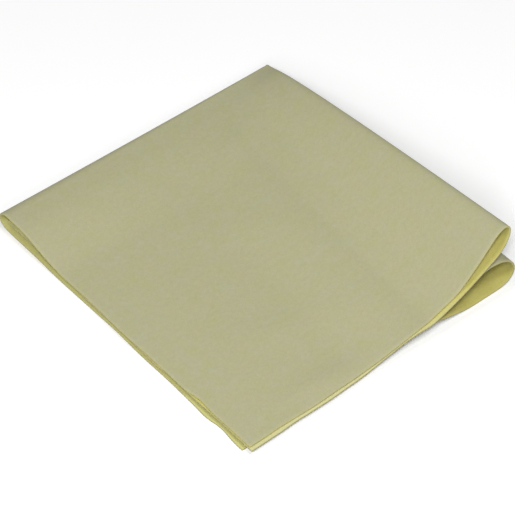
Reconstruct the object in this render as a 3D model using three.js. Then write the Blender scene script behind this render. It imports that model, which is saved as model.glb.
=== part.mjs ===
// A synthetic chamois cloth, folded in quarters and laid down.
//
// The real cloth is one nonwoven sheet. It was folded once about the side fold and once more,
// doubled, about the end fold, so four layers lie on each other. Here each layer's panel and
// each strip of fold is a solid of its own. The upper two layers unfold about the end fold.
//
// Millimetres, +Z up. The origin is the middle of the folded packet's underside. +X runs from
// the left cut edges to the side fold, +Y from the front cut edges to the end fold.
// Inside the formulas, s is the distance from the left cut edges, w the distance from the
// front cut edges, and layer 1 is the top one and layer 4 the bottom one.
import * as THREE from "three";

// The folded packet
const PACKET_WIDTH = 174; // left cut edges to the outside of the side fold
const PACKET_DEPTH = 195; // front cut edges to the outside of the end fold
const SHEET_THICKNESS = 0.9;
const LAYER_GAP = 0.3; // between two layers that touch on the real cloth
const SEAM_GAP = 0.3; // between a panel and the strip of fold that carries on from it

// The side fold springs open towards the front, in two loops that lie on each other
const FOOT_FRONT = 58.5; // side fold to the foot of the raised cloth, at the front
const FOOT_BACK = 24; // the same at the end fold, where the loops are pressed flat
const LIFT_HEIGHT = 5.9; // how far the whole packet lifts off the floor at the foot
const LIFT_RUN = 48; // length of the slope up to the foot
const LIFT_FALL = 32; // length of the bottom layer's slope back down to the floor
const SHARED_RISE = 15; // rise of the two inner layers beyond the foot
const UPPER_OPENING = 7.4; // opening of the upper loop where its nose starts
const LOWER_NOSE = 10.6; // reach of each loop's rounded nose
const UPPER_NOSE = 13.8;
const LOWER_INSET = 0.6; // how far each nose stops short of the packet's side
const UPPER_INSET = 2.8;
const CORNER_BULGE = 1.4; // how far both reach past the packet's side at the end fold

// The end fold springs open towards the left
const END_NOSE = 7; // reach of the outer fold's nose at the left
const END_RUN = 55; // end fold to where the opening starts
const END_CREST = 14; // end fold to where it is fully open
const OUTER_PAIR_GAP = 0.6; // extra space between layers 3 and 4 there
const INNER_FOLD_OPENING = 3.3; // extra space between layers 2 and 3 there
const TOP_PAIR_GAP = 2.6; // extra space between layers 1 and 2 there
const INNER_NOSE = 3; // reach of the inner fold's nose at the left
const INNER_INSET = 9; // how far the inner fold is drawn in at the left

// The cut edges, which don't lie quite on each other
const LOWER_FRONT_SETBACK = 3.1; // at the front left corner
const LOWER_FRONT_SETBACK_RIGHT = 1.2; // beside the side fold
const SETBACK_RUN = 130; // along the front edge, from one to the other
const LAYER_2_FRONT_REACH = 1.8; // layer 2 shows beyond layer 1 at the front
const LAYER_3_FRONT_REACH = 0.6; // and layer 3 beyond layer 4
const TOP_LEFT_SETBACK = 2.2; // layer 1 at the front left corner
const LAYER_2_LEFT_DRAW = 3; // layer 2 there, as well as the inner layers' setback
const UPPER_LEFT_RUN = 100; // along the left edge, to where those two end
const INNER_LEFT_SETBACK = 1; // the inner layers along their whole left edge
const LAYER_3_LEFT_DRAW = 9; // and layer 3 at the front, drawn in by the lower loop

// The side fold's strip ends this far from the fold
const STRIP_FRONT = 30;
const STRIP_BACK = 6;

// Shares and powers that shape the formulas
const SIDE_EASE_SHARE = 0.04; // share of the depth over which the loops start to open
const SIDE_POWER = 0.55; // they open quickly first and then more slowly
const END_REACH_SHARE = 0.96; // share of the width over which the end fold opens
const CONTACT_SHARE = 0.68; // share of the rise up to which layer 3 carries layer 2
const CONTACT_SHARPNESS = 6;
const CREASE_SHARE = 0.36; // share of the slope up to which the upper loop stays shut
const CREASE_EASE_SHARE = 0.3;
const CONTACT_START_SHARE = 0.3;
const SLOPE_LIMIT_SHARE = 1.6;
const RISE_POWER = 1.28;
const LIFT_POWER = 1.6;
const END_POWER = 1.3;

// A cubic curve of this handle length rounds a nose like half an ellipse
const HANDLE_SHARE = 4 / 3;

// How finely each solid is divided
const PANEL_ACROSS = 15;
const PANEL_ALONG = 13;
const SIDE_SHEET_STEPS = 3;
const SIDE_NOSE_STEPS = 8;
const SIDE_ALONG = 13;
const BEND_STEPS = 4;
const CORNER_STEPS = 8;
const PANEL_CROWDING_POWER = 1.5; // panel lines crowd towards the side fold
const ALONG_CROWDING_POWER = 1.6; // and towards the end fold
const NORMAL_STEP_SHARE = 1e-4;
const SLOPE_STEP_SHARE = 1e-3;

const BOTTOM_LAYER = 4;
const LOWER_INNER_LAYER = 3;
const UPPER_INNER_LAYER = 2;
const TOP_LAYER = 1;

// Sizes worked out from the ones above
const PITCH = SHEET_THICKNESS + LAYER_GAP; // middle of one layer to the middle of the next
const HALF_SHEET = SHEET_THICKNESS / 2;
const HALF_SEAM = SEAM_GAP / 2;
const SIDE_TIP = PACKET_WIDTH - HALF_SHEET; // middle of the sheet at the side fold
const END_TIP = PACKET_DEPTH - HALF_SHEET; // middle of the sheet at the end fold
const TIGHT_NOSE = PITCH / 2; // radius of an inner fold that is pressed flat
const TIGHT_BEND = 1.5 * PITCH; // radius of the outer fold around it
const BEND_START = END_TIP - TIGHT_BEND; // where a fold that is pressed flat starts to turn
const MIDDLE_S = (PACKET_WIDTH + CORNER_BULGE) / 2;
const MIDDLE_W = (PACKET_DEPTH - LAYER_2_FRONT_REACH) / 2;

const clamp = (x, low, high) => Math.min(Math.max(x, low), high);
const mix = (a, b, share) => a + (b - a) * share;

// Goes from 0 to 1 between two places, level at both
function smooth(x, from, to) {
  const u = clamp((x - from) / (to - from), 0, 1);
  return u * u * (3 - 2 * u);
}

// Goes up in a straight line to 1 at 1 and beyond, and is eased where it starts
function ramp(x, easeShare) {
  const v = Math.max(x, 0);
  const rise = v < easeShare ? (v * v) / (2 * easeShare) : v - easeShare / 2;
  return rise / (1 - easeShare / 2);
}

// The smaller of two values, rounded where they cross
function softMin(a, b) {
  return a / (1 + (a / b) ** CONTACT_SHARPNESS) ** (1 / CONTACT_SHARPNESS);
}

function bezier(p0, p1, p2, p3, t) {
  const u = 1 - t;
  return u ** 3 * p0 + 3 * u * u * t * p1 + 3 * u * t * t * p2 + t ** 3 * p3;
}

// How far the side fold is open at w: 1 at the front and 0 at the end fold
const sideOpen = (w) =>
  ramp(clamp(1 - w / BEND_START, 0, 1), SIDE_EASE_SHARE) ** SIDE_POWER;

// How far the end fold is open at s: 1 at the left and 0 before the side fold
const endOpen = (s) => clamp(1 - s / (END_REACH_SHARE * PACKET_WIDTH), 0, 1) ** END_POWER;

const foot = (w) => PACKET_WIDTH - mix(FOOT_BACK, FOOT_FRONT, sideOpen(w));
const stripEdge = (w) => PACKET_WIDTH - mix(STRIP_BACK, STRIP_FRONT, sideOpen(w));

// The place where a side loop's nose starts, and the nose's reach
function sideNose(upper, w) {
  const open = sideOpen(w);
  const reach = mix(TIGHT_NOSE, upper ? UPPER_NOSE : LOWER_NOSE, open);
  const inset = mix(-CORNER_BULGE, upper ? UPPER_INSET : LOWER_INSET, open);
  return { start: SIDE_TIP - inset - reach, reach };
}

// The same for the end fold
function endNose(inner, s) {
  const open = endOpen(s);
  if (inner) {
    const reach = mix(TIGHT_NOSE, INNER_NOSE, open);
    return { start: END_TIP - PITCH - INNER_INSET * open * open - reach, reach };
  }
  const reach = mix(TIGHT_BEND, END_NOSE, open);
  return { start: END_TIP - reach, reach };
}

// Height of the middle of a layer. Each layer is the one below it, plus the pitch, plus an
// opening, so no size can make two layers cross.
function height(layer, s, w) {
  const open = sideOpen(w);
  const footAt = foot(w);
  const slopeLength = sideNose(true, w).start - footAt;
  const up = clamp((s - footAt) / slopeLength, 0, SLOPE_LIMIT_SHARE);
  const lift =
    LIFT_HEIGHT * open ** LIFT_POWER * smooth(s, footAt - LIFT_RUN, footAt);
  if (layer === BOTTOM_LAYER)
    return HALF_SHEET + lift * (1 - smooth(s, footAt, footAt + LIFT_FALL));

  const rise = SHARED_RISE * open;
  const steepness = (rise / slopeLength) * smooth(up, 0, CONTACT_START_SHARE);
  const pitch = PITCH * (1 + steepness ** 2 / 2);
  const endRise =
    endOpen(s) * smooth(w, PACKET_DEPTH - END_RUN, PACKET_DEPTH - END_CREST);
  const slope = up ** RISE_POWER;
  if (layer === LOWER_INNER_LAYER)
    return (
      HALF_SHEET +
      pitch +
      lift +
      rise * softMin(slope, CONTACT_SHARE) +
      OUTER_PAIR_GAP * endRise
    );

  const inner =
    HALF_SHEET +
    2 * pitch +
    lift +
    rise * slope +
    (OUTER_PAIR_GAP + INNER_FOLD_OPENING) * endRise;
  if (layer === UPPER_INNER_LAYER) return inner;

  const loop = ramp((up - CREASE_SHARE) / (1 - CREASE_SHARE), CREASE_EASE_SHARE);
  return inner + pitch + UPPER_OPENING * open * loop + TOP_PAIR_GAP * endRise;
}

const sideSlope = (layer, s, w) => {
  const step = SLOPE_STEP_SHARE * PITCH;
  return (height(layer, s, w) - height(layer, s - step, w)) / step;
};
const endSlope = (layer, s, w) => {
  const step = SLOPE_STEP_SHARE * PITCH;
  return (height(layer, s, w) - height(layer, s, w - step)) / step;
};

// A point in the packet's frame. Cloth that rises is drawn back from the front edge.
function place(s, w, z) {
  const raised = z - HALF_SHEET;
  const drawn = ((raised * raised) / (2 * PACKET_DEPTH)) * (1 - w / PACKET_DEPTH);
  return new THREE.Vector3(s - MIDDLE_S, w - MIDDLE_W + drawn, z);
}

// A point of the side fold's section at w: from 0 to 1 along the outer sheet, from 1 to 2
// round the nose, and from 2 to 3 back along the inner sheet
function sideSection(upper, t, w, edge) {
  const outer = upper ? TOP_LAYER : BOTTOM_LAYER;
  const inner = upper ? UPPER_INNER_LAYER : LOWER_INNER_LAYER;
  const { start, reach } = sideNose(upper, w);
  if (t <= 1 || t >= 2) {
    const s = t <= 1 ? mix(edge, start, t) : mix(start, edge, t - 2);
    return { s, z: height(t <= 1 ? outer : inner, s, w) };
  }
  const handle = HANDLE_SHARE * reach;
  const from = height(outer, start, w);
  const to = height(inner, start, w);
  return {
    s: bezier(start, start + handle, start + handle, start, t - 1),
    z: bezier(
      from,
      from + handle * sideSlope(outer, start, w),
      to + handle * sideSlope(inner, start, w),
      to,
      t - 1,
    ),
  };
}

// A point of an end fold at s, from the lower sheet at 0 to the upper one at 1
function endSection(inner, s, t) {
  const lower = inner ? LOWER_INNER_LAYER : BOTTOM_LAYER;
  const upper = inner ? UPPER_INNER_LAYER : TOP_LAYER;
  const { start, reach } = endNose(inner, s);
  const handle = HANDLE_SHARE * reach;
  const from = height(lower, s, start);
  const to = height(upper, s, start);
  return {
    w: bezier(start, start + handle, start + handle, start, t),
    z: bezier(
      from,
      from + handle * endSlope(lower, s, start),
      to + handle * endSlope(upper, s, start),
      to,
      t,
    ),
  };
}

const isInner = (layer) => layer === UPPER_INNER_LAYER || layer === LOWER_INNER_LAYER;

// Where a layer's front cut edge lies
function frontEdge(layer, s) {
  const fade = 1 - smooth(s, 0, SETBACK_RUN);
  if (layer === TOP_LAYER) return 0;
  if (layer === UPPER_INNER_LAYER) return -LAYER_2_FRONT_REACH * fade;
  const setback = mix(LOWER_FRONT_SETBACK_RIGHT, LOWER_FRONT_SETBACK, fade);
  return layer === LOWER_INNER_LAYER ? setback - LAYER_3_FRONT_REACH * fade : setback;
}

// Where a layer's left cut edge lies
function leftEdge(layer, w) {
  const fade = 1 - smooth(w, 0, UPPER_LEFT_RUN);
  if (layer === BOTTOM_LAYER) return 0;
  if (layer === TOP_LAYER) return TOP_LEFT_SETBACK * fade;
  if (layer === UPPER_INNER_LAYER)
    return INNER_LEFT_SETBACK + LAYER_2_LEFT_DRAW * fade;
  return INNER_LEFT_SETBACK + LAYER_3_LEFT_DRAW * sideOpen(w);
}

const steps = (count, power = 1) =>
  Array.from({ length: count + 1 }, (_, i) => 1 - (1 - i / count) ** power);
const between = (low, high, count) => steps(count).map((share) => mix(low, high, share));

// A closed solid of the sheet's thickness around a surface point(a, b)
function thickened(point, as, bs) {
  const stepA = NORMAL_STEP_SHARE * (as[as.length - 1] - as[0]);
  const stepB = NORMAL_STEP_SHARE * (bs[bs.length - 1] - bs[0]);
  const positions = [];
  const columns = bs.length;
  const sheet = as.length * columns;
  for (const side of [1, -1]) {
    for (const a of as) {
      for (const b of bs) {
        const alongA = point(a + stepA, b).sub(point(a - stepA, b));
        const alongB = point(a, b + stepB).sub(point(a, b - stepB));
        const normal = alongA.cross(alongB).normalize();
        positions.push(...point(a, b).addScaledVector(normal, side * HALF_SHEET));
      }
    }
  }
  const faces = [];
  const quad = (p, q, r, s) => faces.push(p, q, r, p, r, s);
  for (let i = 0; i + 1 < as.length; i++) {
    for (let j = 0; j + 1 < columns; j++) {
      const p = i * columns + j;
      quad(p, p + columns, p + columns + 1, p + 1);
      quad(sheet + p, sheet + p + 1, sheet + p + columns + 1, sheet + p + columns);
    }
  }
  const rim = [];
  for (let i = 0; i < as.length; i++) rim.push(i * columns);
  for (let j = 1; j < columns; j++) rim.push((as.length - 1) * columns + j);
  for (let i = as.length - 2; i >= 0; i--) rim.push(i * columns + columns - 1);
  for (let j = columns - 2; j > 0; j--) rim.push(j);
  rim.forEach((p, i) => {
    const q = rim[(i + 1) % rim.length];
    quad(p, sheet + p, sheet + q, q);
  });
  const geometry = new THREE.BufferGeometry();
  geometry.setAttribute("position", new THREE.Float32BufferAttribute(positions, 3));
  geometry.setIndex(faces);
  return geometry;
}

// A layer's flat and sloping part, from its left cut edge to the side fold's strip, and from
// its front cut edge to the end fold's strip
function panelGeometry(layer) {
  const inner = isInner(layer);
  const point = (a, b) => {
    const rough = b * BEND_START;
    const s = mix(leftEdge(layer, rough), stripEdge(rough) - HALF_SEAM, a);
    const w = mix(frontEdge(layer, s), endNose(inner, s).start - HALF_SEAM, b);
    return place(s, w, height(layer, s, w));
  };
  return thickened(
    point,
    steps(PANEL_ACROSS, PANEL_CROWDING_POWER),
    steps(PANEL_ALONG, ALONG_CROWDING_POWER),
  );
}

// The side fold of one pair of layers, from the front cut edges to the end fold
function sideFoldGeometry(upper) {
  const outer = upper ? TOP_LAYER : BOTTOM_LAYER;
  const point = (t, b) => {
    const rough = b * BEND_START;
    const edge = stripEdge(rough) + HALF_SEAM;
    const w = mix(frontEdge(outer, edge), BEND_START - HALF_SEAM, b);
    const { s, z } = sideSection(upper, t, w, edge);
    return place(s, w, z);
  };
  const across = [
    ...between(0, 1, SIDE_SHEET_STEPS),
    ...between(1, 2, SIDE_NOSE_STEPS).slice(1),
    ...between(2, 3, SIDE_SHEET_STEPS).slice(1),
  ];
  return thickened(point, across, steps(SIDE_ALONG, ALONG_CROWDING_POWER));
}

// The shares of a bend that its lower and its upper half take, parted by the seam's gap
function bendHalf(upper, reach) {
  const gapShare = HALF_SEAM / (Math.PI * reach);
  return upper ? [0.5 + gapShare, 1] : [0, 0.5 - gapShare];
}

// Half of an end fold, from the left cut edges to the side fold's strip
function endFoldGeometry(inner, upper) {
  const layer = inner ? LOWER_INNER_LAYER : BOTTOM_LAYER;
  const left = leftEdge(layer, BEND_START);
  const right = stripEdge(BEND_START) - HALF_SEAM;
  const point = (a, t) => {
    const s = mix(left, right, a);
    const [low, high] = bendHalf(upper, endNose(inner, s).reach);
    const { w, z } = endSection(inner, s, mix(low, high, t));
    return place(s, w, z);
  };
  return thickened(point, steps(PANEL_ACROSS), steps(BEND_STEPS));
}

// Half of the corner where the side fold runs round the end fold
function cornerGeometry(upper) {
  const edge = stripEdge(BEND_START) + HALF_SEAM;
  const axisHeight = HALF_SHEET + TIGHT_BEND;
  const point = (t, b) => {
    const { s, z } = sideSection(false, t, BEND_START, edge);
    const radius = axisHeight - z;
    const [low, high] = bendHalf(upper, radius);
    const angle = Math.PI * mix(low, high, b);
    return place(
      s,
      BEND_START + radius * Math.sin(angle),
      axisHeight - radius * Math.cos(angle),
    );
  };
  const across = [
    ...between(0, 1, 1),
    ...between(1, 2, SIDE_NOSE_STEPS).slice(1),
    ...between(2, 3, 1).slice(1),
  ];
  return thickened(point, across, steps(CORNER_STEPS));
}

// Every node with its geometry, whether it belongs to the upper half, and its shade. Faces
// that were rubbed in use are paler, and the insides of the folds more yellow.
const FACE_COLOUR = 0xb6b48a;
const INSIDE_COLOUR = 0xb5ac6a;

const PIECES = [
  ["bottom_panel", panelGeometry(BOTTOM_LAYER), FACE_COLOUR],
  ["lower_inner_panel", panelGeometry(LOWER_INNER_LAYER), INSIDE_COLOUR],
  ["lower_side_fold", sideFoldGeometry(false), INSIDE_COLOUR],
  ["outer_end_fold_lower_half", endFoldGeometry(false, false), FACE_COLOUR],
  ["inner_end_fold_lower_half", endFoldGeometry(true, false), INSIDE_COLOUR],
  ["corner_fold_lower_half", cornerGeometry(false), FACE_COLOUR],
  ["top_panel", panelGeometry(TOP_LAYER), FACE_COLOUR],
  ["upper_inner_panel", panelGeometry(UPPER_INNER_LAYER), INSIDE_COLOUR],
  ["upper_side_fold", sideFoldGeometry(true), INSIDE_COLOUR],
  ["outer_end_fold_upper_half", endFoldGeometry(false, true), FACE_COLOUR],
  ["inner_end_fold_upper_half", endFoldGeometry(true, true), INSIDE_COLOUR],
  ["corner_fold_upper_half", cornerGeometry(true), FACE_COLOUR],
];

const cloth = new THREE.Group();
for (const [name, geometry, color] of PIECES) {
  const material = new THREE.MeshStandardMaterial({
    color,
    roughness: 0.95,
    metalness: 0,
    side: THREE.DoubleSide,
  });
  const mesh = new THREE.Mesh(geometry, material);
  mesh.name = name;
  cloth.add(mesh);
}

export default cloth;
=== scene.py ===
import bpy
import numpy as np
from mathutils import Matrix, Vector


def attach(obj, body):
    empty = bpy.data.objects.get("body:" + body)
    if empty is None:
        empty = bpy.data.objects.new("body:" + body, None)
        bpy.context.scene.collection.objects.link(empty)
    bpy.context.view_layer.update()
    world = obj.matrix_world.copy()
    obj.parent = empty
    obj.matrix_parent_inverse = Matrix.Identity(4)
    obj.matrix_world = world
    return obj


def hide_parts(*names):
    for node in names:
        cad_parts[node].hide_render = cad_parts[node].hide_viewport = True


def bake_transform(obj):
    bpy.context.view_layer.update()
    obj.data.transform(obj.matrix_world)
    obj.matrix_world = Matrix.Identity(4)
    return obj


# The cloth is drawn in millimetres, as the CAD is, and turned into metres when a mesh is made.
# s is the distance from the left cut edges, w the distance from the front cut edges, and
# layer 1 is the top one and layer 4 the bottom one.
MM = 0.001

# The folded packet, in the CAD's own sizes
PACKET_WIDTH = 174
PACKET_DEPTH = 195
SHEET_THICKNESS = 0.9
LAYER_GAP = 0.3
DRAWN_THICKNESS = 1.06  # the napped sheet all but fills the CAD's gaps
ROUNDING = 0.16  # how far a cut edge bows out

# The side fold springs open towards the front, in two loops that lie on each other
FOOT_FRONT = 58.5  # side fold to the foot of the raised cloth, at the front
FOOT_BACK = 36  # the same at the end fold, where the loops are pressed flat
LIFT_HEIGHT = 5.9  # how far the whole packet lifts off the floor at the foot
LIFT_RUN = 48  # length of the slope up to the foot
LIFT_FALL = 32  # length of the bottom layer's slope back down to the floor
SHARED_RISE = 15  # rise of the two inner layers beyond the foot
UPPER_OPENING = 8.4  # opening of the upper loop where its nose starts
LOWER_NOSE = 11.5  # reach of each loop's rounded nose
UPPER_NOSE = 12.6
LOWER_INSET = 0.4  # how far each nose stops short of the packet's side
UPPER_INSET = 3
CORNER_BULGE = 1.4  # how far both reach past the packet's side at the end fold

# The end fold springs open towards the left
END_NOSE = 7  # reach of the outer fold's nose at the left
END_RUN = 55  # end fold to where the opening starts
END_CREST = 14  # end fold to where it is fully open
END_OPENING = 6.5  # extra space between layers 1 and 4 there
OUTER_PAIR_GAP = 2.3  # the part of it that lies between layers 3 and 4
INNER_FOLD_OPENING = 0.3  # and the part between layers 2 and 3
INNER_NOSE = 0.75  # reach of the inner fold's nose at the left
INNER_INSET = 4  # how far the inner fold is drawn in at the left

# The cut edges, which don't lie quite on each other
LOWER_FRONT_SETBACK = 3.1  # layers 3 and 4 at the front left corner
LOWER_FRONT_SETBACK_RIGHT = 1.2  # and beside the side fold
SETBACK_RUN = 130  # along the front edge, from one to the other
LAYER_2_FRONT_REACH = 1.8  # layer 2 shows beyond layer 1 at the front
LAYER_3_FRONT_REACH = 0.6  # and layer 3 beyond layer 4
MOUTH_START = 95  # the upper loop's mouth gapes from here to the side fold
MOUTH_FULL = 125
MOUTH_END = 166
TOP_MOUTH_SETBACK = 1.0  # layer 1 is drawn back over the mouth
LAYER_2_MOUTH_REACH = 1.0  # and layer 2 reaches out of it
TOP_LEFT_SETBACK = 2.2  # layer 1 at the front left corner
LAYER_2_LEFT_DRAW = 1.5  # layer 2 there, as well as the inner layers' setback
UPPER_LEFT_RUN = 100  # along the left edge, to where those two end
INNER_LEFT_SETBACK = 0.4  # the inner layers along their left edge
INNER_CORNER_SETBACK = 1.7  # and at the left corner
LAYER_3_LEFT_DRAW = 6.5  # and layer 3 at the front, drawn in by the lower loop

# Shares and powers that shape the formulas
SIDE_EASE = 0.04  # share of the depth over which the loops start to open
SIDE_POWER = 0.55  # they open quickly first and then more slowly
END_REACH = 0.96  # share of the width over which the end fold opens
CONTACT = 0.82  # share of the rise up to which layer 3 carries layer 2
CONTACT_SHARPNESS = 7
LOWER_DIP = 0.06  # layer 3 dips by this share of the rise
DIP_START = 0.98  # between these two shares of the slope
DIP_END = 1.13
CREASE = 0.36  # share of the slope up to which the upper loop stays shut
CREASE_EASE = 0.3
CONTACT_START = 0.3
SLOPE_LIMIT = 1.6
RISE_POWER = 1.28
LIFT_POWER = 1.6
END_POWER = 1.3
HANDLE = 4 / 3  # the length of a nose's handles, as a share of its reach
SLOPE_STEP = 0.01  # the length over which a layer's slope is measured
TINY = 1e-9  # no length is divided by less than this

# The cloth bends this far below and above the plane midway between layers 2 and 3
FINE_BAND = 0.26  # and it is divided finely this far below and above it

# The flat sheet
FLAT_DEPTH = 392

# Sizes worked out from the ones above
PITCH = SHEET_THICKNESS + LAYER_GAP
HALF_SHEET = SHEET_THICKNESS / 2
HALF_DRAWN = DRAWN_THICKNESS / 2
SIDE_TIP = PACKET_WIDTH - HALF_SHEET
END_TIP = PACKET_DEPTH - HALF_SHEET
TIGHT_NOSE = PITCH / 2  # radius of an inner fold that is pressed flat
TIGHT_BEND = 1.5 * PITCH  # radius of the outer fold around it
BEND_START = END_TIP - TIGHT_BEND  # where a fold that is pressed flat starts to turn
MIDDLE_HEIGHT = HALF_DRAWN + TIGHT_BEND  # half the height of the packet pressed flat
MIDDLE_S = (PACKET_WIDTH + CORNER_BULGE) / 2
MIDDLE_W = (PACKET_DEPTH - LAYER_2_FRONT_REACH) / 2

# The plane midway between layers 2 and 3: its rise towards the left edge, its height in the
# middle, its tilt and the way up from it
PARTING_RISE = OUTER_PAIR_GAP + INNER_FOLD_OPENING / 2
PARTING_HEIGHT = MIDDLE_HEIGHT + PARTING_RISE * (1 - MIDDLE_S / PACKET_WIDTH)
PARTING_TILT = np.arctan(PARTING_RISE / PACKET_WIDTH)
PARTING_UP = np.array([np.sin(PARTING_TILT), 0.0, np.cos(PARTING_TILT)])

BOTTOM, LOWER_INNER, UPPER_INNER, TOP = 4, 3, 2, 1

# How finely the cloth is divided
FLAT_STEPS = 116  # across a layer, from its left cut edge to the side fold
NOSE_STEPS = 34  # round a side loop's nose
LENGTH_STEPS = 132  # from the front cut edges to the end folds
LENGTH_CROWDING = 1.25  # these are shorter towards the end folds
BEND_STEPS = 9  # round an end fold, on each side of the fine band
BAND_STEPS = 40  # and inside it
SEARCH_STEPS = 801  # for finding that band
LOW_LIMITS = (0.04, 0.9)  # it starts between these shares of the bend
HIGH_LIMITS = (0.1, 0.96)  # and ends between these
RIM_ANGLES = (50, 20, -20, -50)  # where a cut edge's rounding is divided, in degrees


def mix(a, b, share):
    return a + (b - a) * share


def smooth(x, start, end):
    """0 before start, 1 after end, and level at both."""
    u = np.clip((x - start) / (end - start), 0, 1)
    return u * u * (3 - 2 * u)


def ramp(x, ease):
    """A straight rise to 1 at 1 and beyond, eased where it starts."""
    v = np.maximum(x, 0)
    return np.where(v < ease, v * v / (2 * ease), v - ease / 2) / (1 - ease / 2)


def soft_min(a, b):
    return a / (1 + (a / b) ** CONTACT_SHARPNESS) ** (1 / CONTACT_SHARPNESS)


def bezier(p0, p1, p2, p3, t):
    u = 1 - t
    return u**3 * p0 + 3 * u * u * t * p1 + 3 * u * t * t * p2 + t**3 * p3


def side_open(w):
    """How far the side fold is open: 1 at the front and 0 at the end fold."""
    return ramp(np.clip(1 - w / BEND_START, 0, 1), SIDE_EASE) ** SIDE_POWER


def end_open(s):
    """How far the end fold is open: 1 at the left and 0 before the side fold."""
    return np.clip(1 - s / (END_REACH * PACKET_WIDTH), 0, 1) ** END_POWER


def foot(w):
    return PACKET_WIDTH - mix(FOOT_BACK, FOOT_FRONT, side_open(w))


def side_nose(upper, w):
    """Where a side loop's nose starts, and how far the nose reaches."""
    opened = side_open(w)
    reach = mix(TIGHT_NOSE, UPPER_NOSE if upper else LOWER_NOSE, opened)
    inset = mix(-CORNER_BULGE, UPPER_INSET if upper else LOWER_INSET, opened)
    return SIDE_TIP - inset - reach, reach


def end_nose(inner, s):
    """The same for an end fold."""
    opened = end_open(s)
    if inner:
        reach = mix(TIGHT_NOSE, INNER_NOSE, opened)
        return END_TIP - PITCH - INNER_INSET * opened**2 - reach, reach
    reach = mix(TIGHT_BEND, END_NOSE, opened)
    return END_TIP - reach, reach


# Soft swells of the whole packet: s, w, length, width, turn in degrees and height. They are
# places where the cloth doesn't lie quite flat, and the hollows are what is left between them.
SWELLS = (
    (58, 8, 22, 7, -8, 0.9),
    (66, 46, 40, 11, -20, 0.45),
    (24, 40, 16, 14, 30, 0.25),
    (126, 160, 20, 6, 30, 0.5),
    (160, 184, 12, 6, 20, 0.3),
    (92, 108, 40, 15, -35, 0.45),
    (34, 92, 22, 12, 50, 0.3),
    (60, 150, 30, 12, -15, 0.25),
    (110, 70, 20, 10, 60, 0.2),
)
SWELL_FADE = 34  # the swells die out over this length towards each fold
LAYER_SHARES = {BOTTOM: 0.0, LOWER_INNER: 0.35, UPPER_INNER: 0.6, TOP: 1.0}


def swell(layer, s, w):
    """How far the layer's swells raise it."""
    total = 0
    for at_s, at_w, length, width, turn, rise in SWELLS:
        angle = np.radians(turn)
        long_way = (s - at_s) * np.cos(angle) + (w - at_w) * np.sin(angle)
        short_way = (w - at_w) * np.cos(angle) - (s - at_s) * np.sin(angle)
        total = total + rise * np.exp(-((long_way / length) ** 2 + (short_way / width) ** 2))
    fade = smooth(PACKET_WIDTH - s, 0, 2 * SWELL_FADE)
    fade = fade * smooth(PACKET_DEPTH - w, 0, SWELL_FADE)
    return LAYER_SHARES[layer] * total * fade


def height(layer, s, w):
    """Height of the middle of a layer. Each layer is the one below it, plus an opening."""
    opened, foot_at = side_open(w), foot(w)
    slope_length = side_nose(True, w)[0] - foot_at
    up = np.clip((s - foot_at) / slope_length, 0, SLOPE_LIMIT)
    lift = LIFT_HEIGHT * opened**LIFT_POWER * smooth(s, foot_at - LIFT_RUN, foot_at)
    if layer == BOTTOM:
        return HALF_DRAWN + lift * (1 - smooth(s, foot_at, foot_at + LIFT_FALL))

    rise = SHARED_RISE * opened
    steepness = rise / slope_length * smooth(up, 0, CONTACT_START)
    pitch = PITCH * (1 + steepness**2 / 2)
    crest = smooth(w, PACKET_DEPTH - END_RUN, PACKET_DEPTH - END_CREST)
    low_rise = np.clip(1 - s / PACKET_WIDTH, 0, 1) * crest
    slope = up**RISE_POWER
    base = HALF_DRAWN + lift + swell(layer, s, w)
    if layer == LOWER_INNER:
        share = soft_min(slope, CONTACT) - LOWER_DIP * smooth(up, DIP_START, DIP_END)
        return base + pitch + rise * share + OUTER_PAIR_GAP * low_rise

    inner = base + 2 * pitch + rise * slope
    if layer == UPPER_INNER:
        return inner + (OUTER_PAIR_GAP + INNER_FOLD_OPENING) * low_rise

    loop = ramp((up - CREASE) / (1 - CREASE), CREASE_EASE)
    return inner + pitch + UPPER_OPENING * opened * loop + END_OPENING * end_open(s) * crest


def side_slope(layer, s, w):
    return (height(layer, s, w) - height(layer, s - SLOPE_STEP, w)) / SLOPE_STEP


def end_slope(layer, s, w):
    return (height(layer, s, w) - height(layer, s, w - SLOPE_STEP)) / SLOPE_STEP


# The knife didn't leave the edges quite straight: place, length and depth of each wave
LEFT_WAVES = ((18, 7, 0.9), (30, 6, -0.4), (60, 14, 0.35), (104, 16, 0.5), (150, 15, -0.3))
FRONT_WAVES = ((12, 6, 0.3), (34, 8, -0.3), (66, 10, 0.3), (98, 9, -0.25), (126, 12, 0.3))
LEFT_SHIFT = 21  # the waves lie this much further along for each layer down
FRONT_SHIFT = 9
LEFT_FADE = (12, 40)  # and fade out between these distances from the fold
FRONT_FADE = (30, 60)


def waves(table, at, shift):
    return sum(deep * np.exp(-(((at - place - shift) / long) ** 2)) for place, long, deep in table)


def front_edge(layer, s):
    """Where a layer's front cut edge lies."""
    fade = 1 - smooth(s, 0, SETBACK_RUN)
    wave = waves(FRONT_WAVES, s, FRONT_SHIFT * layer) * smooth(PACKET_WIDTH - s, *FRONT_FADE)
    mouth = smooth(s, MOUTH_START, MOUTH_FULL)
    if layer == TOP:
        return wave + TOP_MOUTH_SETBACK * mouth
    if layer == UPPER_INNER:
        lip = mouth * (1 - smooth(s, MOUTH_FULL, MOUTH_END))
        return wave - LAYER_2_FRONT_REACH * fade - LAYER_2_MOUTH_REACH * lip
    setback = mix(LOWER_FRONT_SETBACK_RIGHT, LOWER_FRONT_SETBACK, fade)
    return wave + (setback - LAYER_3_FRONT_REACH * fade if layer == LOWER_INNER else setback)


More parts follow.
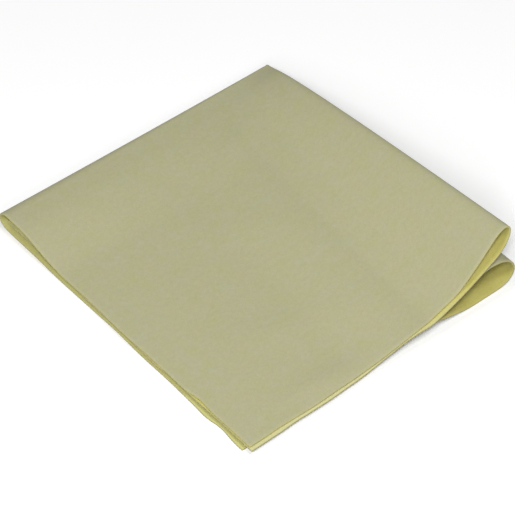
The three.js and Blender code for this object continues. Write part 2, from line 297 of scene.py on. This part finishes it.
def left_edge(layer, w):
    """Where a layer's left cut edge lies."""
    fade = 1 - smooth(w, 0, UPPER_LEFT_RUN)
    wave = waves(LEFT_WAVES, w, 0 if layer == BOTTOM else LEFT_SHIFT * layer)
    wave = wave * smooth(PACKET_DEPTH - w, *LEFT_FADE)
    if layer == BOTTOM:
        return wave
    if layer == TOP:
        return wave + TOP_LEFT_SETBACK * fade
    crest = smooth(w, PACKET_DEPTH - END_RUN, PACKET_DEPTH - END_CREST)
    setback = wave + mix(INNER_LEFT_SETBACK, INNER_CORNER_SETBACK, crest)
    if layer == UPPER_INNER:
        return setback + LAYER_2_LEFT_DRAW * fade
    return setback + LAYER_3_LEFT_DRAW * side_open(w) ** 2


def in_frame(s, w, z):
    """The point in the CAD's frame. Cloth that rises is drawn back from the front edge."""
    raised = z - HALF_DRAWN
    drawn = raised**2 / (2 * PACKET_DEPTH) * (1 - w / PACKET_DEPTH)
    return np.stack([s - MIDDLE_S, w - MIDDLE_W + drawn, z + 0 * s], axis=-1)


def half(upper, a, b):
    """A point of one pair of layers. b runs from the front cut edges to the end fold, and a
    from 0 to 1 along the outer layer, to 2 round the side fold and to 3 along the inner one."""
    outer, inner = (TOP, UPPER_INNER) if upper else (BOTTOM, LOWER_INNER)
    rough = mix(front_edge(outer, np.array(SIDE_TIP)), BEND_START, b)
    nose_at, reach = side_nose(upper, rough)

    def sheet(layer, share):
        s = mix(left_edge(layer, rough), nose_at, share)
        w = mix(front_edge(layer, s), end_nose(layer == inner, s)[0], b)
        return s, w, height(layer, s, w)

    s_out, w_out, z_out = sheet(outer, np.clip(a, 0, 1))
    s_in, w_in, z_in = sheet(inner, np.clip(3 - a, 0, 1))
    t = np.clip(a - 1, 0, 1)
    handle = HANDLE * reach
    _, w0, z0 = sheet(outer, 1)
    _, w1, z1 = sheet(inner, 1)
    s_nose = bezier(nose_at, nose_at + handle, nose_at + handle, nose_at, t)
    z_nose = bezier(
        z0,
        z0 + handle * side_slope(outer, nose_at, w0),
        z1 + handle * side_slope(inner, nose_at, w1),
        z1,
        t,
    )
    w_nose = mix(w0, w1, smooth(t, 0, 1))
    s = np.where(a <= 1, s_out, np.where(a >= 2, s_in, s_nose))
    w = np.where(a <= 1, w_out, np.where(a >= 2, w_in, w_nose))
    z = np.where(a <= 1, z_out, np.where(a >= 2, z_in, z_nose))
    return s, w, z


def bend_point(a, t):
    """A point of the end folds. a is as above, and t runs from the lower half to the upper."""
    s0, w0, z0 = half(False, a, np.array(1.0))
    s1, w1, z1 = half(True, a, np.array(1.0))
    at_s = np.clip(s0, 0, PACKET_WIDTH)
    outer_reach, inner_reach = end_nose(False, at_s)[1], end_nose(True, at_s)[1]
    corner_reach = np.maximum(MIDDLE_HEIGHT - z0, TIGHT_NOSE)
    reach = np.where(a <= 1, outer_reach, np.where(a >= 2, inner_reach, corner_reach))
    slope0 = np.where(a <= 1, end_slope(BOTTOM, at_s, w0), end_slope(LOWER_INNER, at_s, w0))
    slope1 = np.where(a <= 1, end_slope(TOP, at_s, w1), end_slope(UPPER_INNER, at_s, w1))
    flat = (a > 1) & (a < 2)
    slope0, slope1 = np.where(flat, 0, slope0), np.where(flat, 0, slope1)
    handle = HANDLE * reach
    s = mix(s0, s1, smooth(t, 0, 1))
    w = bezier(w0, w0 + handle, w1 + handle, w1, t)
    z = bezier(z0, z0 + handle * slope0, z1 + handle * slope1, z1, t)
    return s, w, z


def bend_shares(places):
    """The steps round the end folds for each a, crowded where the cloth turns on the hinge."""
    fine = np.linspace(0, 1, SEARCH_STEPS)
    steps = []
    for a in places:
        point = in_frame(*bend_point(np.full_like(fine, a), fine))
        above = point @ PARTING_UP - PARTING_HEIGHT * PARTING_UP[2]
        low, high = np.interp([-FINE_BAND, FINE_BAND], above, fine)
        low, high = np.clip(low, *LOW_LIMITS), np.clip(high, *HIGH_LIMITS)
        steps.append(
            np.concatenate(
                [
                    np.linspace(0, low, BEND_STEPS, endpoint=False),
                    np.linspace(low, high, BAND_STEPS, endpoint=False),
                    np.linspace(high, 1, BEND_STEPS + 1),
                ]
            )
        )
    return np.array(steps)


def directions(points):
    """Which way each row of points runs. The nearer neighbour of a point counts for more."""
    step = np.diff(points, axis=1)
    length = np.maximum(np.linalg.norm(step, axis=-1, keepdims=True), TINY)
    step = step / length
    before, after = length[:, :-1], length[:, 1:]
    middle = (step[:, :-1] * after + step[:, 1:] * before) / (before + after)
    return np.concatenate([step[:, :1], middle, step[:, -1:]], axis=1)


def normals(points):
    """Unit normals of a grid of points."""
    down_columns = np.swapaxes(directions(np.swapaxes(points, 0, 1)), 0, 1)
    n = np.cross(down_columns, directions(points))
    return n / np.maximum(np.linalg.norm(n, axis=-1, keepdims=True), TINY)


def sheet_mesh(name, points, n, flat, seams):
    """A closed sheet around a grid of points, with rounded cut edges.

    points is in millimetres, n holds their normals and flat their places on the flat cloth.
    seams says which of the four sides, first row, last row, first column and last column,
    carry on in another piece and so aren't rounded. The faces get slot 0 on the side of the
    normals, slot 1 on the other side and slot 2 on the cut edges and the seams."""
    rows, columns = points.shape[:2]
    vertices = [points + n * HALF_DRAWN, points - n * HALF_DRAWN]
    at = np.arange(rows * columns).reshape(rows, columns)
    top, under = at, at + rows * columns
    faces, slots = [], []

    def grid_faces(ids, slot, turn):
        quads = np.stack([ids[:-1, :-1], ids[1:, :-1], ids[1:, 1:], ids[:-1, 1:]], axis=-1)
        quads = quads.reshape(-1, 4)
        faces.append(quads[:, ::-1] if turn else quads)
        slots.append(np.full(len(quads), slot))

    grid_faces(top, 0, False)
    grid_faces(under, 1, True)

    # The rim goes round the grid once
    rim = [(i, 0) for i in range(rows)]
    rim += [(rows - 1, j) for j in range(1, columns)]
    rim += [(i, columns - 1) for i in range(rows - 2, -1, -1)]
    rim += [(0, j) for j in range(columns - 2, 0, -1)]
    rim = np.array(rim)
    i, j = rim[:, 0], rim[:, 1]
    outward = np.zeros((len(rim), 3))
    cut = np.zeros(len(rim))
    on_seam = np.zeros(len(rim), bool)
    inside_i, inside_j = np.clip(i, 1, rows - 2), np.clip(j, 1, columns - 2)
    for side, (mask, seam) in enumerate(
        zip((i == 0, i == rows - 1, j == 0, j == columns - 1), seams)
    ):
        if seam:
            on_seam |= mask
            continue
        step = points[i, j] - (points[inside_i, j] if side < 2 else points[i, inside_j])
        step = step / np.maximum(np.linalg.norm(step, axis=-1, keepdims=True), TINY)
        outward[mask] += step[mask]
        cut[mask] = 1
    size = np.maximum(np.linalg.norm(outward, axis=-1, keepdims=True), TINY)
    outward = outward / size
    p, m = points[i, j], n[i, j]
    loops = [top[i, j]]
    count = 2 * rows * columns
    extra = []
    for angle in np.radians(RIM_ANGLES):
        bow = ROUNDING * np.cos(angle)
        extra.append(p + m * HALF_DRAWN * np.sin(angle) + outward * (bow * cut)[:, None])
        loops.append(count + np.arange(len(rim)))
        count += len(rim)
    loops.append(under[i, j])
    for upper_loop, lower_loop in zip(loops, loops[1:]):
        quads = np.stack(
            [upper_loop, lower_loop, np.roll(lower_loop, -1), np.roll(upper_loop, -1)], axis=-1
        )
        faces.append(quads)
        slots.append(np.full(len(quads), 2))
    everything = np.concatenate([v.reshape(-1, 3) for v in vertices] + extra) * MM
    flat_all = np.concatenate([flat.reshape(-1, 2)] * 2 + [flat[i, j]] * len(extra)) * MM

    mesh = bpy.data.meshes.new(name)
    all_faces = np.concatenate(faces)
    mesh.from_pydata(everything.tolist(), [], all_faces.tolist())
    mesh.polygons.foreach_set("material_index", np.concatenate(slots).astype(np.int32))
    mesh.polygons.foreach_set("use_smooth", np.ones(len(all_faces), bool))
    at_seam = np.zeros(len(everything), bool)
    for loop in loops:
        at_seam[loop[on_seam]] = True
    ends = np.zeros(2 * len(mesh.edges), np.int32)
    mesh.edges.foreach_get("vertices", ends)
    sharp = at_seam[ends].reshape(-1, 2).all(axis=1)
    mesh.attributes.new("sharp_edge", "BOOLEAN", "EDGE").data.foreach_set("value", sharp)
    flat_map = mesh.uv_layers.new(name="flat_cloth")
    corner = np.zeros(len(mesh.loops), np.int32)
    mesh.loops.foreach_get("vertex_index", corner)
    flat_map.data.foreach_set("uv", flat_all[corner].astype(np.float32).ravel())
    mesh.update()
    obj = bpy.data.objects.new(name, mesh)
    bpy.context.scene.collection.objects.link(obj)
    return obj


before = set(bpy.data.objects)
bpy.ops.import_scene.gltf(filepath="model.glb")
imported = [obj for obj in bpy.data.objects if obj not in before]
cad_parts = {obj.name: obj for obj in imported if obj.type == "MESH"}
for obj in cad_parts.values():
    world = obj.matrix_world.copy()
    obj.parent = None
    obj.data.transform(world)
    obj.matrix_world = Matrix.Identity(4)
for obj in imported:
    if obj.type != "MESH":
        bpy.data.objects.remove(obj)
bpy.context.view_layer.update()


# Materials

RIM_WIDTH = 2.4  # painted highlight: the inside is drawn paler this far in from the upper front edge, where light catches the inner layers' rim
RIM_FULL = 1.2  # and fully pale this far in
RIM_START = 215  # the painted highlight lies on the part of the inner layers beyond this
RIM_END = 265  # and fully so beyond this
LEFT_FULL = 14  # painted light: the inside is drawn paler this far in from the outer layers' left edges, where the lamps light it less
LEFT_WIDTH = 34  # and less and less so up to here
TURN_START = 150  # painted shade: the cut edges are drawn a little duller up to here, where they lie in shade
TURN_END = 200  # and less and less so up to here
FAR_START = 325  # and the painted shade on them starts again from here
FAR_END = 340  # to here
BLUSH = (1.02, 0.985, 1.0)  # here and there the cloth is a little pinker
CLOUD_SCALE = 45
PATCH_SCALE = 130
BLUSH_SCALE = 90
PORE_SCALE = 420
CRUMPLE_SCALE = 60
NAP_SCALE = 1400
FIBRE_SCALE = 2600
FIBRE_STRETCH = (0.5, 1, 0.28)  # turn in radians, and scale across and along the fibres
FIBRE_GRAIN = 0.35  # shares of the fine shading
NAP_GRAIN = 0.35
PORE_GRAIN = 0.3
DARK_GRAIN = 0.91  # which darkens and lightens the colour this far
PALE_GRAIN = 1.09
FIBRE_RELIEF = 0.45  # and shares of the relief
NAP_RELIEF = 0.7
PORE_RELIEF = 1.2
CRUMPLE_RELIEF = 3.0
BUMP_STRENGTH = 0.385
BUMP_DEPTH = 0.25


def cloth_material(name, colour, pale, deep, rim=None, left=None, outer=None):
    """Napped nonwoven: cloudy colour, fine fibres and a soft sheen. pale and deep are the
    colours that the clouds and patches go to. rim is a painted highlight along the upper
    front edge, left is painted light that makes the inside paler along the outer layers' left
    edges, and outer is painted shade on the cut edges of the outer layers and of the inner ones'
    left ends."""
    material = bpy.data.materials.new(name)
    material.use_nodes = True
    tree = material.node_tree
    nodes, links = tree.nodes, tree.links
    shader = nodes["Principled BSDF"]
    shader.inputs["Roughness"].default_value = 0.95
    shader.inputs["Specular IOR Level"].default_value = 0.15
    shader.inputs["Sheen Weight"].default_value = 0.12
    shader.inputs["Sheen Roughness"].default_value = 0.6
    place = nodes.new("ShaderNodeUVMap")
    place.uv_map = "flat_cloth"

    def noise(scale, detail, roughness=0.5, stretch=None):
        texture = nodes.new("ShaderNodeTexNoise")
        texture.inputs["Scale"].default_value = scale
        texture.inputs["Detail"].default_value = detail
        texture.inputs["Roughness"].default_value = roughness
        source = place.outputs["UV"]
        if stretch:
            mapping = nodes.new("ShaderNodeMapping")
            mapping.inputs["Rotation"].default_value = (0, 0, stretch[0])
            mapping.inputs["Scale"].default_value = (stretch[1], stretch[2], 1)
            links.new(source, mapping.inputs["Vector"])
            source = mapping.outputs["Vector"]
        links.new(source, texture.inputs["Vector"])
        return texture.outputs["Fac"]

    def spread(value, low, high, to_low=0.0, to_high=1.0):
        node = nodes.new("ShaderNodeMapRange")
        node.inputs["From Min"].default_value = low
        node.inputs["From Max"].default_value = high
        node.inputs["To Min"].default_value = to_low
        node.inputs["To Max"].default_value = to_high
        links.new(value, node.inputs["Value"])
        return node.outputs["Result"]

    def mixed(share, first, second):
        node = nodes.new("ShaderNodeMix")
        node.data_type = "RGBA"
        # Its sockets 0, 6 and 7 are the factor and the two colours
        for index, value in ((0, share), (6, first), (7, second)):
            if isinstance(value, bpy.types.NodeSocket):
                links.new(value, node.inputs[index])
            else:
                node.inputs[index].default_value = value
        return node.outputs[2]

    def scaled(value, factor):
        node = nodes.new("ShaderNodeMath")
        node.operation = "MULTIPLY"
        node.inputs[1].default_value = factor
        links.new(value, node.inputs[0])
        return node.outputs[0]

    def combined(first, second, operation):
        node = nodes.new("ShaderNodeMath")
        node.operation = operation
        links.new(first, node.inputs[0])
        links.new(second, node.inputs[1])
        return node.outputs[0]

    def added(first, second):
        return combined(first, second, "ADD")

    clouds = spread(noise(CLOUD_SCALE, detail=3, roughness=0.6), low=0.35, high=0.65)
    patches = spread(noise(PATCH_SCALE, detail=4, roughness=0.65), low=0.4, high=0.65)
    blushes = spread(noise(BLUSH_SCALE, detail=3, roughness=0.6), low=0.4, high=0.7)
    colour_now = mixed(clouds, (*colour, 1), (*pale, 1))
    colour_now = mixed(patches, colour_now, (*deep, 1))
    colour_now = mixed(blushes, colour_now, (*[c * b for c, b in zip(colour, BLUSH)], 1))
    flat = nodes.new("ShaderNodeSeparateXYZ")
    links.new(place.outputs["UV"], flat.inputs[0])
    from_left, from_front = flat.outputs["X"], flat.outputs["Y"]
    # painted shade: the cut edges of the outer layers and of the inner ones' left ends are drawn
    # duller
    if outer:
        painted_light_band = spread(from_left, TURN_END * MM, TURN_START * MM)
        far = spread(from_left, FAR_START * MM, FAR_END * MM)
        colour_now = mixed(added(painted_light_band, far), colour_now, (*outer, 1))
    # painted light: the inside is drawn paler along the outer layers' left edges
    if left:
        painted_light_band = spread(from_left, LEFT_WIDTH * MM, LEFT_FULL * MM)
        colour_now = mixed(painted_light_band, colour_now, (*left, 1))
    # painted highlight: the inner layers' rim along the upper front edge is drawn paler, where the
    # light catches it
    if rim:
        painted_light_band = spread(
            from_front, (FLAT_DEPTH - RIM_WIDTH) * MM, (FLAT_DEPTH - RIM_FULL) * MM
        )
        inner = spread(from_left, RIM_START * MM, RIM_END * MM)
        painted_highlight = combined(painted_light_band, inner, "MULTIPLY")
        colour_now = mixed(painted_highlight, colour_now, (*rim, 1))

    fibres = noise(FIBRE_SCALE, detail=3, roughness=0.7, stretch=FIBRE_STRETCH)
    nap = noise(NAP_SCALE, detail=4, roughness=0.65)
    pores = noise(PORE_SCALE, detail=5, roughness=0.6)
    grain = added(scaled(nap, NAP_GRAIN), scaled(pores, PORE_GRAIN))
    grain = added(scaled(fibres, FIBRE_GRAIN), grain)
    grain = spread(grain, low=0.35, high=0.65, to_low=DARK_GRAIN, to_high=PALE_GRAIN)
    shade = nodes.new("ShaderNodeVectorMath")
    shade.operation = "SCALE"
    links.new(colour_now, shade.inputs[0])
    links.new(grain, shade.inputs["Scale"])
    links.new(shade.outputs["Vector"], shader.inputs["Base Color"])

    crumple = noise(CRUMPLE_SCALE, detail=3)
    relief = added(scaled(nap, NAP_RELIEF), scaled(pores, PORE_RELIEF))
    relief = added(scaled(fibres, FIBRE_RELIEF), relief)
    relief = added(relief, scaled(crumple, CRUMPLE_RELIEF))
    bump = nodes.new("ShaderNodeBump")
    bump.inputs["Strength"].default_value = BUMP_STRENGTH
    bump.inputs["Distance"].default_value = BUMP_DEPTH * MM
    links.new(relief, bump.inputs["Height"])
    links.new(bump.outputs["Normal"], shader.inputs["Normal"])
    return material


OUTSIDE = cloth_material(
    "chamois_outside",
    colour=(0.447, 0.438, 0.262),
    pale=(0.449, 0.441, 0.286),
    deep=(0.44, 0.434, 0.228),
)
INSIDE = cloth_material(
    "chamois_inside",
    colour=(0.54, 0.497, 0.148),
    pale=(0.555, 0.515, 0.168),
    deep=(0.52, 0.475, 0.13),
    # rim is a painted highlight, and left is painted light that makes the inside paler
    rim=(0.61, 0.585, 0.30),
    left=(0.56, 0.54, 0.205),
)
CUT = cloth_material(
    "chamois_cut_edge",
    colour=(0.53, 0.495, 0.225),
    pale=(0.55, 0.52, 0.25),
    deep=(0.50, 0.46, 0.19),
    # outer is painted shade on those cut edges
    outer=(0.52, 0.48, 0.21),
)


def flat_places(points):
    """Each point's place on the flat cloth, measured along the net of the folded one, and back
    from the upper front edge."""
    gap_a = np.linalg.norm(np.diff(points, axis=0), axis=-1)
    along_a = np.concatenate([np.zeros((1, points.shape[1])), np.cumsum(gap_a, axis=0)])
    gap_b = np.linalg.norm(np.diff(points, axis=1), axis=-1)
    along_b = np.concatenate([np.zeros((points.shape[0], 1)), np.cumsum(gap_b, axis=1)], axis=1)
    return np.stack([along_a, FLAT_DEPTH + along_b - along_b[:, -1:]], axis=-1)


def cloth_piece(name, first, last, seams):
    """The columns of the net from first to last, as one piece of the cloth."""
    part = (slice(None), slice(first, last + 1))
    obj = sheet_mesh(name, net[part], net_normals[part], net_flat[part], seams)
    for material in (INSIDE, OUTSIDE, CUT):
        obj.data.materials.append(material)
    return obj


# One net of points over the whole cloth. Its rows are numbered from the left edge of the outer
# layers, round the side fold, to the left edge of the inner ones, and its columns from the
# lower front edge, round the end fold, to the upper front edge.
net_a = np.concatenate(
    [
        np.linspace(0, 1, FLAT_STEPS, endpoint=False),
        np.linspace(1, 2, NOSE_STEPS, endpoint=False),
        np.linspace(2, 3, FLAT_STEPS + 1),
    ]
)
net_b = 1 - (1 - np.linspace(0, 1, LENGTH_STEPS + 1)) ** LENGTH_CROWDING
A, B = np.meshgrid(net_a, net_b, indexing="ij")
bend_t = bend_shares(net_a)
bend_net = in_frame(*bend_point(net_a[:, None] + 0 * bend_t, bend_t))
net = np.concatenate(
    [
        in_frame(*half(False, A, B)),
        bend_net[:, 1:-1],
        in_frame(*half(True, A, B))[:, ::-1],
    ],
    axis=1,
)
net_normals, net_flat = normals(net), flat_places(net)
fold_first = LENGTH_STEPS
fold_last = fold_first + bend_net.shape[1] - 1
lower = cloth_piece("lower_layers", 0, fold_first, (False, False, False, True))
bend = cloth_piece("end_fold", fold_first, fold_last, (False, False, True, True))
upper = cloth_piece("upper_layers", fold_last, net.shape[1] - 1, (False, False, True, False))

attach(lower, "lower_half")
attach(upper, "upper_half")
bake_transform(bend)

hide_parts("bottom_panel", "lower_inner_panel", "lower_side_fold")
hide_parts("top_panel", "upper_inner_panel", "upper_side_fold")
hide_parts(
    "outer_end_fold_lower_half",
    "inner_end_fold_lower_half",
    "corner_fold_lower_half",
    "outer_end_fold_upper_half",
    "inner_end_fold_upper_half",
    "corner_fold_upper_half",
)


# The floor, the light and the camera

FLOOR_SIZE = 4  # metres
FLOOR_GREY = 0.5  # what the light that falls on the cloth sees
FLOOR_GLOW = 0.1  # the camera sees white and this much glow
WORLD_STRENGTH = 0.065
LAMP_DISTANCE = 2

floor_mesh = bpy.data.meshes.new("floor")
edge = FLOOR_SIZE / 2
floor_mesh.from_pydata(
    [(-edge, -edge, 0), (edge, -edge, 0), (edge, edge, 0), (-edge, edge, 0)],
    [],
    [(0, 1, 2, 3)],
)
floor = bpy.data.objects.new("floor", floor_mesh)
bpy.context.scene.collection.objects.link(floor)
floor_material = bpy.data.materials.new("floor_white")
floor_material.use_nodes = True
floor_nodes, floor_links = floor_material.node_tree.nodes, floor_material.node_tree.links
floor_shader = floor_nodes["Principled BSDF"]
floor_shader.inputs["Base Color"].default_value = (FLOOR_GREY, FLOOR_GREY, FLOOR_GREY, 1)
floor_shader.inputs["Roughness"].default_value = 1
floor_shader.inputs["Specular IOR Level"].default_value = 0
bright = floor_nodes.new("ShaderNodeBsdfDiffuse")
bright.inputs["Color"].default_value = (1, 1, 1, 1)
glow = floor_nodes.new("ShaderNodeEmission")
glow.inputs["Strength"].default_value = FLOOR_GLOW
seen = floor_nodes.new("ShaderNodeAddShader")
floor_links.new(bright.outputs[0], seen.inputs[0])
floor_links.new(glow.outputs[0], seen.inputs[1])
path = floor_nodes.new("ShaderNodeLightPath")
choice = floor_nodes.new("ShaderNodeMixShader")
floor_links.new(path.outputs["Is Camera Ray"], choice.inputs[0])
floor_links.new(floor_shader.outputs[0], choice.inputs[1])
floor_links.new(seen.outputs[0], choice.inputs[2])
floor_links.new(choice.outputs[0], floor_nodes["Material Output"].inputs["Surface"])
floor_mesh.materials.append(floor_material)

world = bpy.data.worlds.new("studio")
bpy.context.scene.world = world
world.use_nodes = True
world.node_tree.nodes["Background"].inputs["Color"].default_value = (1, 1, 1, 1)
world.node_tree.nodes["Background"].inputs["Strength"].default_value = WORLD_STRENGTH


def softbox(name, azimuth, elevation, size, power):
    """A square soft light aimed at the cloth. The azimuth is where it stands: 0 is in front of
    the front cut edges and 90 beyond the side fold."""
    turn, tilt = np.radians(azimuth), np.radians(elevation)
    away = Vector((np.sin(turn) * np.cos(tilt), -np.cos(turn) * np.cos(tilt), np.sin(tilt)))
    light = bpy.data.lights.new(name, "AREA")
    light.shape = "SQUARE"
    light.size = size
    light.energy = power
    obj = bpy.data.objects.new(name, light)
    bpy.context.scene.collection.objects.link(obj)
    obj.location = away * LAMP_DISTANCE
    obj.rotation_mode = "QUATERNION"
    obj.rotation_quaternion = (-away).to_track_quat("-Z", "Y")


softbox("key", azimuth=-40, elevation=52, size=0.3, power=17)
softbox("low", azimuth=-40, elevation=28, size=0.5, power=6.6)
softbox("right", azimuth=20, elevation=68, size=0.5, power=13.6)
softbox("left", azimuth=-100, elevation=45, size=0.5, power=10)

# The camera looks down at the cloth from over its front corner, with a long lens
TURN = 39.73
ELEVATION = 47.45
DISTANCE = 1.6526
ASIDE = -0.0004
ABOVE = -0.0025
LENS = 230.68
SENSOR_WIDTH = 36

turn, elevation = np.radians(TURN), np.radians(ELEVATION)
ahead = Vector(
    (
        np.sin(turn) * np.cos(elevation),
        np.cos(turn) * np.cos(elevation),
        -np.sin(elevation),
    )
)
right = Vector((np.cos(turn), -np.sin(turn), 0))
up = right.cross(ahead)
camera_data = bpy.data.cameras.new("camera")
camera_data.lens = LENS
camera_data.sensor_width = SENSOR_WIDTH
camera = bpy.data.objects.new("camera", camera_data)
bpy.context.scene.collection.objects.link(camera)
camera.matrix_world = Matrix.Translation(
    -DISTANCE * ahead + ASIDE * right + ABOVE * up
) @ Matrix((right, up, -ahead)).transposed().to_4x4()
bpy.context.scene.camera = camera
bpy.context.scene.view_settings.view_transform = "Standard"
